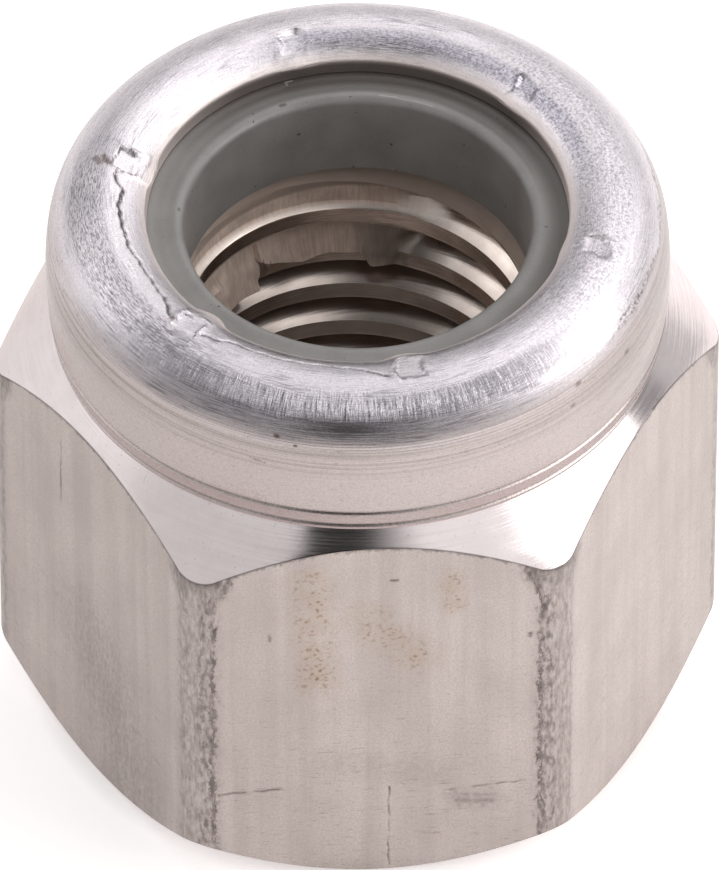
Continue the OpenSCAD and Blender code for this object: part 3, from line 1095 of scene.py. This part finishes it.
# %% Geometry Nodes tree of the thread: rows that climb
given = add(thread_tree, "NodeGroupInput").outputs
grid = add(thread_tree, "GeometryNodeMeshGrid", {
    "Size X": 1, "Size Y": 1, "Vertices X": given["Columns"], "Vertices Y": given["Rows"],
})
place = add(thread_tree, "ShaderNodeSeparateXYZ", {0: add(thread_tree, "GeometryNodeInputPosition")})
share = add(thread_tree, "ShaderNodeMath", {0: place.outputs["X"], 1: 0.5}, operation="ADD")
row_share = add(thread_tree, "ShaderNodeMath", {0: place.outputs["Y"], 1: 0.5}, operation="ADD")
row_turn = add(thread_tree, "ShaderNodeMath", {0: row_share, 1: given["Turns"]}, operation="MULTIPLY")
# Rows in one turn: four on the crest and root, six on the flanks
row_phase = add(thread_tree, "ShaderNodeMath", {0: row_turn}, operation="FRACT")
whole_turns = add(thread_tree, "ShaderNodeMath", {0: row_turn}, operation="FLOOR")
phase_curve = add(thread_tree, "ShaderNodeFloatCurve", {"Value": row_phase})
curve = phase_curve.mapping.curves[0]
for row, phase in ((1, CREST_LINE), (2, CREST_END), (5, ROOT_START), (7, ROOT_END)):
    curve.points.new(row / ROWS_PER_TURN, phase)
for point in curve.points:
    point.handle_type = "VECTOR"
phase_curve.mapping.update()
climbed = add(thread_tree, "ShaderNodeMath", {0: whole_turns, 1: phase_curve}, operation="ADD")
helix = add(thread_tree, "ShaderNodeMath", {0: climbed, 1: share}, operation="ADD")
raised = add(thread_tree, "ShaderNodeMath", {0: helix, 1: given["Pitch"], 2: given["Start Height"]},
             operation="MULTIPLY_ADD")
height = add(thread_tree, "ShaderNodeClamp", {"Value": raised, "Min": 0, "Max": given["Top"]})

# %% Geometry Nodes tree of the thread: radius of each point
flank_up = add(thread_tree, "ShaderNodeMapRange", {
    "Value": phase_curve, "From Min": CREST_END, "From Max": ROOT_START,
})
flank_down = add(thread_tree, "ShaderNodeMapRange", {
    "Value": phase_curve, "From Min": 1, "From Max": ROOT_END,
})
cut_share = add(thread_tree, "ShaderNodeMath", {0: flank_up, 1: flank_down}, operation="MINIMUM")
thread_r = add(thread_tree, "ShaderNodeMath", {
    0: cut_share, 1: given["Thread Depth"], 2: given["Minor Radius"],
}, operation="MULTIPLY_ADD")
above = add(thread_tree, "ShaderNodeMath", {0: height, 1: given["Exit Height"]}, operation="SUBTRACT")
below = add(thread_tree, "ShaderNodeMath", {0: given["Entry Height"], 1: height}, operation="SUBTRACT")
beyond = add(thread_tree, "ShaderNodeMath", {0: above, 1: below}, operation="MAXIMUM")
cone_r = add(thread_tree, "ShaderNodeMath", {0: beyond, 1: given["Minor Radius"]}, operation="ADD")
wall_r = add(thread_tree, "ShaderNodeMath", {0: thread_r, 1: cone_r}, operation="MAXIMUM")

# %% Geometry Nodes tree of the thread: bend the grid and finish it
angle = add(thread_tree, "ShaderNodeMath", {0: share, 1: 2 * pi}, operation="MULTIPLY")
around = add(thread_tree, "ShaderNodeCombineXYZ", {
    "X": add(thread_tree, "ShaderNodeMath", {0: angle}, operation="COSINE"),
    "Y": add(thread_tree, "ShaderNodeMath", {0: angle}, operation="SINE"),
})
out = add(thread_tree, "ShaderNodeVectorMath", {0: around, "Scale": wall_r}, operation="SCALE")
up = add(thread_tree, "ShaderNodeCombineXYZ", {"Z": height})
spot = add(thread_tree, "ShaderNodeVectorMath", {0: out, 1: up}, operation="ADD")
bent = add(thread_tree, "GeometryNodeSetPosition", {"Geometry": grid, "Position": spot})
merged = add(thread_tree, "GeometryNodeMergeByDistance", {"Geometry": bent, "Distance": MERGE_DISTANCE})
facing_axis = add(thread_tree, "GeometryNodeFlipFaces", {"Mesh": merged})
realized = add(thread_tree, "GeometryNodeRealizeInstances", {"Geometry": facing_axis})
finished = add(thread_tree, "GeometryNodeSetMaterial", {"Geometry": realized, "Material": given["Finish"]})
add(thread_tree, "NodeGroupOutput", {"Geometry": finished})
print("thread tree:", len(thread_tree.nodes), "nodes")

# %% Thread as a plain mesh
# On the far wall, where the picture shows it best, a crest's lower edge lies at this height
CREST_TURN, CREST_Z = radians(86.6), 7.51


def evaluated_mesh(tree, values, sockets):
    holder = bpy.data.objects.new(tree.name, bpy.data.meshes.new(tree.name))
    bpy.context.scene.collection.objects.link(holder)
    modifier = holder.modifiers.new(tree.name, "NODES")
    modifier.node_group = tree
    for name, value in values.items():
        modifier[sockets[name].identifier] = value
    evaluated = holder.evaluated_get(bpy.context.evaluated_depsgraph_get())
    mesh = bpy.data.meshes.new_from_object(evaluated)
    bpy.data.objects.remove(holder)
    return mesh


start_z = CREST_Z - PITCH * CREST_TURN / (2 * pi)
start_z -= PITCH * (1 + np.ceil(start_z / PITCH))
thread_turns = int(np.ceil((GROOVE_Z - start_z) / PITCH))
thread_values = {name: value for name, _, value in THREAD_INPUTS}
thread_values["Turns"] = float(thread_turns)
thread_values["Rows"] = thread_turns * ROWS_PER_TURN + 1
thread_values["Start Height"] = float(start_z * MM)
thread_mesh = evaluated_mesh(thread_tree, thread_values, thread_sockets)
thread_points = np.array([v.co for v in thread_mesh.vertices]) / MM
print("thread:", len(thread_mesh.vertices), "points over", thread_turns, "turns")

# %% [markdown]
# ## Torn first turn
# Under the ring the tap tore the metal: a thin sheet hangs from the topmost crest over the groove
# below it, with a ragged lower edge. The points there are drawn in to the crest's radius, and the two
# points of each column next to the edge are moved onto it.

# %% Shape of the torn sheet
# Its lower edge as turns and heights
TEAR_EDGE = (
    (56, 7.5), (81.9, 7.5), (84, 7.6), (86, 7.82), (96, 7.84), (101, 7.8), (106, 7.76), (112, 7.82),
    (119, 8.0), (122.6, 8.15), (123.4, 7.5), (140, 7.5), (158, 7.6), (168, 8.2), (176, 8.8),
)
# It stands in from the crest, leans back above a height, curls in at its edge and waves a little
TEAR_STEP = -0.03
TEAR_LEAN, LEAN_Z = 0.3, 7.8
TEAR_CURL, CURL_H = 0.05, 0.3
TEAR_WAVE, TEAR_WAVE_COUNTS = 0.02, (23, 4)
# The two points of a column at the edge, below it, and how far the sheet reaches over the crest above
EDGE_DROP = np.array((0.02, 0))
CREST_REACH = 0.05
# Its right end slopes into the groove along a slanting line, given by heights and turns
END_HEIGHTS, END_TURNS = (7.5, 8.45), (76, 66)
END_W = 14
# The last groove under the ring is smeared shut at the left and the back
SMEAR_TURNS, SMEAR_SHARES = (55, 80, 185, 200), (0, 1, 1, 0)
SMEAR_DEPTH, SMEAR_SOFT = 0.16, 0.1
print("turns of the torn edge:", TEAR_EDGE[0][0], "to", TEAR_EDGE[-1][0])

# %% Smear the last groove shut
thread_turn = np.degrees(np.arctan2(thread_points[:, 1], thread_points[:, 0])) % 360
thread_column = np.round(thread_turn * COLUMNS / 360).astype(int) % COLUMNS
thread_r_now = np.hypot(thread_points[:, 0], thread_points[:, 1])
crest_top = CREST_Z + PITCH * (1 + CREST_END + (np.radians(thread_turn) - CREST_TURN) / (2 * pi))
smeared = np.interp(thread_turn, SMEAR_TURNS, SMEAR_SHARES)
smeared *= smooth((thread_points[:, 2] - crest_top) / SMEAR_SOFT)
smeared *= smooth((EXIT_Z + SMEAR_DEPTH - thread_points[:, 2]) / SMEAR_SOFT)
shut = np.minimum(thread_r_now, MINOR_R + SMEAR_DEPTH)
thread_points[:, :2] *= (1 + smeared * (shut / thread_r_now - 1))[:, None]
print("smeared groove:", int(smeared.sum()), "points")

# %% Draw in the torn sheet
torn = smeared.copy()
tear_turns, tear_heights = np.array(TEAR_EDGE).T
for column in range(int(tear_turns[0]), int(tear_turns[-1])):
    ids = np.flatnonzero(thread_column == column)
    ids = ids[np.argsort(thread_points[ids, 2])]
    edge_z = np.interp(column, tear_turns, tear_heights)
    crest_z = CREST_Z + PITCH * (1 + radians(column) / (2 * pi) - CREST_TURN / (2 * pi))
    first = np.searchsorted(thread_points[ids, 2], edge_z)
    at_foot = smooth((column - END_TURNS[0]) / END_W + 0.5)
    foot = ids[[first - 1, first]]
    thread_points[foot, 2] += at_foot * (edge_z - EDGE_DROP - thread_points[foot, 2])
    sheet = ids[first:][thread_points[ids[first:], 2] < crest_z + CREST_REACH]
    r = np.hypot(thread_points[sheet, 0], thread_points[sheet, 1])
    limit = MINOR_R + TEAR_STEP + TEAR_LEAN * (thread_points[sheet, 2] - max(edge_z, LEAN_Z))
    limit -= TEAR_CURL * smooth(1 - (thread_points[sheet, 2] - edge_z) / CURL_H)
    wave_phase = TEAR_WAVE_COUNTS[0] * radians(column) + TEAR_WAVE_COUNTS[1] * thread_points[sheet, 2]
    limit += TEAR_WAVE * np.sin(wave_phase)
    hung = smooth((column - np.interp(thread_points[sheet, 2], END_HEIGHTS, END_TURNS)) / END_W + 0.5)
    thread_points[sheet, :2] *= (1 + hung * (np.minimum(r, limit) / r - 1))[:, None]
    torn[sheet] = hung
print("torn sheet:", int(torn.sum()), "points")

# %% [markdown]
# ## Body
# The skin and the thread share the ring at the bearing face and the ring under the groove. Welding
# them there gives one closed solid, as the real nut is one piece of metal.


# %% Weld the body
# Edges that turn by more than this are drawn sharp
SHARP_ANGLE = radians(32)


def add_attribute(mesh, name, kind, field, values):
    mesh.attributes.new(name, kind, "POINT").data.foreach_set(field, np.ravel(values).astype(np.float32))


def closed_piece(name, points, polygons, finish_numbers, dirt_and_shade):
    mesh = bpy.data.meshes.new(name)
    mesh.from_pydata([tuple(p) for p in np.asarray(points) * MM], [], polygons)
    mesh.polygons.foreach_set("material_index", finish_numbers)
    add_attribute(mesh, "marks_and_shade", "FLOAT", "value", dirt_and_shade)
    work = bmesh.new()
    work.from_mesh(mesh)
    bmesh.ops.remove_doubles(work, verts=work.verts, dist=MERGE_DISTANCE)
    open_edges = sum(1 for edge in work.edges if len(edge.link_faces) != 2)
    print(name, "has", len(work.faces), "faces,", open_edges, "open edges, volume",
          round(work.calc_volume(signed=True) / MM ** 3, 2), "mm3")
    work.to_mesh(mesh)
    work.free()
    mesh.shade_smooth()
    mesh.set_sharp_from_angle(angle=SHARP_ANGLE)
    piece = bpy.data.objects.new(name, mesh)
    bpy.context.scene.collection.objects.link(piece)
    return piece


skin_points = np.concatenate(vertices)
thread_faces = [[i + len(skin_points) for i in polygon.vertices] for polygon in thread_mesh.polygons]
body = closed_piece(
    "lock_nut_body",
    np.concatenate([skin_points, thread_points]),
    faces + thread_faces,
    finishes + [TAPPED] * len(thread_faces),
    np.concatenate(marks_and_shade_values + [torn]),
)
bpy.data.meshes.remove(thread_mesh)

# %% [markdown]
# ## Attributes
# A material knows neither the bar's corners nor the tool's path. So each point is told where it lies, and
# the patterns follow the drawing and the turning.

# %% Where each point lies, for the finishes
# The front flat has the darkest rims
FRONT_FLAT = 4
FRONT_RUBBED, OTHER_RUBBED = 1.0, 0.3
# How far off the minor radius a crest may lie, and how torn it may be
CREST_OFF, CREST_TORN = 0.03, 0.1


def mark_places(piece):
    points = np.array([v.co for v in piece.data.vertices]) / MM
    turn = np.arctan2(points[:, 1], points[:, 0])
    r = np.hypot(points[:, 0], points[:, 1])
    angle = np.arctan2(points[:, 2] - roll_z, r - roll_axis_r)
    way = np.where(points[:, 2] < roll_z, points[:, 2], roll_z + ROLL_R * angle)
    lathe = np.stack([LATHE_R * np.cos(turn), LATHE_R * np.sin(turn), way], axis=1)
    add_attribute(piece.data, "lathe", "FLOAT_VECTOR", "vector", lathe)
    add_attribute(piece.data, "corner", "FLOAT", "value", r * np.abs(np.sin(from_corner(turn))))
    add_attribute(piece.data, "below_edge", "FLOAT", "value", shoulder_edge(r) - points[:, 2])
    phase = ((points[:, 2] - start_z) / PITCH - turn / (2 * pi)) % 1
    on_crest = (r < MINOR_R + CREST_OFF) & (points[:, 2] < EXIT_Z)
    marks_and_shade = np.empty(len(points), np.float32)
    piece.data.attributes["marks_and_shade"].data.foreach_get("value", marks_and_shade)
    on_crest &= (marks_and_shade < CREST_TORN) & (phase > CREST_LINE / 2) & (phase < CREST_END + CREST_LINE / 2)
    add_attribute(piece.data, "crest", "FLOAT", "value", on_crest)
    flat_number = np.floor(np.degrees(turn) / (360 / SIDES)) % SIDES
    rubbed = np.where(flat_number == FRONT_FLAT, FRONT_RUBBED, OTHER_RUBBED)
    add_attribute(piece.data, "rubbed", "FLOAT", "value", rubbed)
    print("attributes of", piece.name + ":", len(piece.data.attributes))


mark_places(body)

# %% [markdown]
# ## Polyamide ring
# The ring is moulded with square edges, except for the upper bore edge, which the tool rounded. It is
# turned from a half section like the body, and its bore wanders by a few hundredths, as plastic does.

# %% Half section of the ring
RING_BORE_ROWS, RING_EDGE_ROWS, RING_TOP_ROWS, RING_ROUND_ROWS = 6, 8, 12, 6
# Its top is dished a little, and the dish starts within this share of the top's width from each edge
RING_DISH, DISH_START = 0.035, 1 / 3
ring_round = GROOVE_ROUND - (GROOVE_R - RING_R)
ring_section = [(RING_BORE_R, z) for z in np.linspace(RING_Z, RING_TOP_Z - RING_EDGE_R, RING_BORE_ROWS)]
for angle_step in np.linspace(pi, pi / 2, RING_EDGE_ROWS)[1:]:
    ring_section.append((
        RING_BORE_R + RING_EDGE_R * (1 + cos(angle_step)),
        RING_TOP_Z - RING_EDGE_R * (1 - sin(angle_step)),
    ))
for r in np.linspace(RING_BORE_R + RING_EDGE_R, LIP_R, RING_TOP_ROWS)[1:]:
    across = (r - RING_BORE_R - RING_EDGE_R) / (LIP_R - RING_BORE_R - RING_EDGE_R)
    dish = RING_DISH * smooth(across / DISH_START) * smooth((1 - across) / DISH_START)
    ring_section.append((r, RING_TOP_Z - dish))
for angle_step in np.linspace(pi / 2, 0, RING_ROUND_ROWS):
    ring_section.append((
        RING_R - ring_round * (1 - cos(angle_step)),
        RING_TOP_Z - ring_round * (1 - sin(angle_step)),
    ))
ring_section += [(RING_R, RING_Z), ((RING_R + RING_BORE_R) / 2, RING_Z)]
print("points of the ring's half section:", len(ring_section))

# %% Ring
# How its bore wanders: height, how many waves go round, and phase; and how far this reaches into the ring
WANDERS = ((0.012, 2, 1), (0.006, 7, 0))
WANDER_REACH = 0.5
# Painted shadow of the lip lies on the ring under it, darkest on one side: where it starts inside the lip,
# the width over which it grows, what is left of it on the lighter side, and the phase of the darker side
LIP_SHADOW_START, LIP_SHADOW_W = 0.65, 0.5
LIP_SHADOW_LEAST = 0.2
SHADOWED_PHASE = 40
wander = sum(height * np.sin(count * even_turn + phase) for height, count, phase in WANDERS)
on_shadowed_side = smooth(0.5 + np.sin(even_turn + radians(SHADOWED_PHASE)))
vertices, faces, finishes, marks_and_shade_values = [], [], [], []
ring_ids = []
for r, z in ring_section:
    near_bore = smooth((RING_BORE_R + WANDER_REACH - r) / WANDER_REACH)
    lip_shadow = smooth((r - LIP_R + LIP_SHADOW_START) / LIP_SHADOW_W)
    lip_shadow = lip_shadow * (LIP_SHADOW_LEAST + (1 - LIP_SHADOW_LEAST) * on_shadowed_side)
    ring_r = r + np.maximum(wander, 0) * near_bore
    ring_ids.append(add_ring(even_turn, ring_r, np.full(COLUMNS, z), lip_shadow))
for low, high in zip(ring_ids, ring_ids[1:] + ring_ids[:1]):
    bridge(high, low, 0)
ring = closed_piece(
    "polyamide_ring", np.concatenate(vertices), faces, finishes, np.concatenate(marks_and_shade_values),
)
mark_places(ring)

# %% [markdown]
# ## Finishes on the pieces
# The faces already carry the numbers of their finishes, in the order in which they are added here.

# %% Put the finishes on
for finish in (drawn, turned, rolled, tapped):
    body.data.materials.append(finish)
ring.data.materials.append(moulded)
print("slots of the body:", len(body.data.materials), "and of the ring:", len(ring.data.materials))

# %% [markdown]
# ## Studio
# A small shiny thing is photographed in a white tent: soft light from all round, a brighter panel at the
# right, and one dark opening in front, where the camera stands. The metal shows all of that.

# %% Floor
FLOOR_R, FLOOR_SIDES = 400.0, 64
floor_mesh = bpy.data.meshes.new("floor")
floor_disc = bmesh.new()
bmesh.ops.create_circle(floor_disc, cap_ends=True, segments=FLOOR_SIDES, radius=FLOOR_R * MM)
floor_disc.to_mesh(floor_mesh)
floor_disc.free()
floor = bpy.data.objects.new("floor", floor_mesh)
bpy.context.scene.collection.objects.link(floor)
floor_material, tree = new_material("white_table")
path = add(tree, "ShaderNodeLightPath").outputs
mirrored = add(tree, "ShaderNodeMath", {
    0: path["Is Glossy Ray"], 1: path["Is Transmission Ray"],
}, operation="MAXIMUM")
# Painted light: for mirrored rays the table glows brighter on the right than on the left, standing in for
# the right panel's light on it
CAMERA_LIFT = 0.5
LEFT_LIFT, RIGHT_LIFT = 0.29, 0.55
LIFT_REACH = 12.0
on_floor = add(tree, "ShaderNodeTexCoord").outputs["Object"]
sideways = add(tree, "ShaderNodeVectorMath", {0: on_floor, 1: view_right}, operation="DOT_PRODUCT")
painted_table_light = add(tree, "ShaderNodeMapRange", {
    "Value": sideways.outputs["Value"], "From Min": -LIFT_REACH * MM, "From Max": LIFT_REACH * MM,
    "To Min": LEFT_LIFT, "To Max": RIGHT_LIFT,
})
lift = add(tree, "ShaderNodeMath", {0: mirrored, 1: painted_table_light}, operation="MULTIPLY")
lift = add(tree, "ShaderNodeMath", {
    0: path["Is Camera Ray"], 1: CAMERA_LIFT, 2: lift,
}, operation="MULTIPLY_ADD")
# The glow fades out near the nut, which leaves a painted shadow under it and round its foot
DARK_R, LIGHT_R = 5.5, 6.8
spread = add(tree, "ShaderNodeVectorMath", {0: on_floor}, operation="LENGTH")
open_floor = add(tree, "ShaderNodeMapRange", {
    "Value": spread.outputs["Value"], "From Min": DARK_R * MM, "From Max": LIGHT_R * MM,
})
lift = add(tree, "ShaderNodeMath", {0: lift, 1: open_floor}, operation="MULTIPLY")
paper = add(tree, "ShaderNodeBsdfDiffuse", {"Color": linear("#F4F0EE")})
glow = add(tree, "ShaderNodeEmission", {"Color": linear("#FFFFFF"), "Strength": lift})
both = add(tree, "ShaderNodeAddShader", {0: paper, 1: glow})
add(tree, "ShaderNodeOutputMaterial", {"Surface": both})
floor_mesh.materials.append(floor_material)
print("floor:", FLOOR_R, "mm in radius")

# %% [markdown]
# The tent could be a mesh of cloth with lamps behind it. Only its mirror image shows, so its walls are
# painted into the world for mirrored rays alone, and an even ambient light fills the shadows.

# %% World
scene = bpy.context.scene
scene.world = bpy.data.worlds.new("white_tent")
scene.world.use_nodes = True
tree = scene.world.node_tree
tree.nodes.clear()
path = add(tree, "ShaderNodeLightPath").outputs
direction = add(tree, "ShaderNodeTexCoord").outputs["Generated"]
front = Vector((view_back.x, view_back.y, 0)).normalized()
upright = Vector((0, 0, 1))


def studio_direction(right_share, front_share, up_share):
    return (right_share * view_right + front_share * front + up_share * upright).normalized()


# What the tent's walls reflect: the right, front and up shares of each part's direction, the cosines from
# it between which the part fades in, and its level
TENT_LEVEL = 0.82
TENT_PARTS = (
    ((-0.95, -0.3, 0.05), (0.6, 0.9), 0.98),
    ((-0.6, -0.65, 0.5), (0.9, 0.98), 0.48),
    ((-0.6, 0.6, 0.5), (0.8, 0.97), 0.72),
    ((0.5, 0.59, 0.64), (0.85, 0.97), 1.05),
    ((0.82, -0.55, 0.11), (0.7, 0.95), 0.64),
    ((0.0, -0.71, 0.7), (0.8, 0.95), 0.43),
    ((0.4, -0.7, 0.59), (0.85, 0.97), 1.05),
    ((-0.69, -0.3, 0.66), (0.9, 0.98), 1.4),
    ((0.69, -0.3, 0.66), (0.86, 0.97), 1.8),
    ((0.4, 0.0, 0.92), (0.93, 0.985), 1.0),
    ((-0.1, 0.2, 0.97), (0.915, 0.98), 0.15),
    ((0.92, -0.24, 0.3), (0.965, 0.985), 0.33),
)
tent = TENT_LEVEL
for shares, spread, level in TENT_PARTS:
    facing = add(tree, "ShaderNodeVectorMath", {0: direction, 1: studio_direction(*shares)},
                 operation="DOT_PRODUCT")
    inside = add(tree, "ShaderNodeMapRange", {
        "Value": facing.outputs["Value"], "From Min": spread[0], "From Max": spread[1],
    }, interpolation_type="SMOOTHSTEP")
    tent = add(tree, "ShaderNodeMix", {0: inside, 2: tent, 3: level})

# The dark opening round the camera, with a hard left edge and a soft right one: the direction across each
# edge, and the cosines between which it fades in
OPENING_EDGES = (
    (view_right, -0.27, -0.22),
    (view_right, 0.3, 0.05),
    (front, 0.03, 0.25),
    (upright, 0.94, 0.88),
)
opening = 1.0
for across, start, end in OPENING_EDGES:
    facing = add(tree, "ShaderNodeVectorMath", {0: direction, 1: across}, operation="DOT_PRODUCT")
    inside = add(tree, "ShaderNodeMapRange", {
        "Value": facing.outputs["Value"], "From Min": start, "From Max": end,
    })
    opening = add(tree, "ShaderNodeMath", {0: opening, 1: inside}, operation="MULTIPLY")
OPENING_LEVEL = 0.03
tent = add(tree, "ShaderNodeMix", {0: opening, 2: tent, 3: OPENING_LEVEL})
mirrored = add(tree, "ShaderNodeMath", {
    0: path["Is Glossy Ray"], 1: path["Is Transmission Ray"],
}, operation="MAXIMUM")
AMBIENT = 0.55
lit = add(tree, "ShaderNodeMix", {0: mirrored, 2: AMBIENT, 3: tent})
seen = add(tree, "ShaderNodeMix", {0: path["Is Camera Ray"], 2: lit, 3: 1.0})
background = add(tree, "ShaderNodeBackground", {"Color": linear("#FFFFFF"), "Strength": seen})
add(tree, "ShaderNodeOutputWorld", {"Surface": background})
print("parts of the tent:", len(TENT_PARTS))

# %% [markdown]
# Two softboxes give the light a direction: a panel close by on the right, whose image is the white
# streak on the shoulder, and a large weak one overhead and behind. Each is set by the level of its image.


# %% Lamps
# Right, front and up shares of the direction, distance, side and level
SOFTBOXES = {
    "right_panel": ((0.86, 0.16, 0.48), 160, 115, 2.1),
    "top_panel": ((0, -0.5, 1), 260, 260, 0.62),
}


def softbox(name, shares, distance, size, radiance):
    towards = studio_direction(*shares)
    lamp = bpy.data.objects.new(name, bpy.data.lights.new(name, "AREA"))
    lamp.data.size = size * MM
    lamp.data.energy = radiance * pi * (size * MM) ** 2
    lamp.location = AXIS_POINT * MM + towards * distance * MM
    lamp.rotation_euler = (-towards).to_track_quat("-Z", "Y").to_euler()
    scene.collection.objects.link(lamp)
    print(name, "gives", round(lamp.data.energy, 4), "W")


for name, values in SOFTBOXES.items():
    softbox(name, *values)
scene.view_settings.view_transform = "Standard"

# %% [markdown]
# ## Hand over
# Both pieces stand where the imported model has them. They ride on its only body and take the places of
# its two nodes.

# %% Hand the pieces over
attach(body, "root")
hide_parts("nut_body")
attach(ring, "root")
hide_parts("locking_insert")
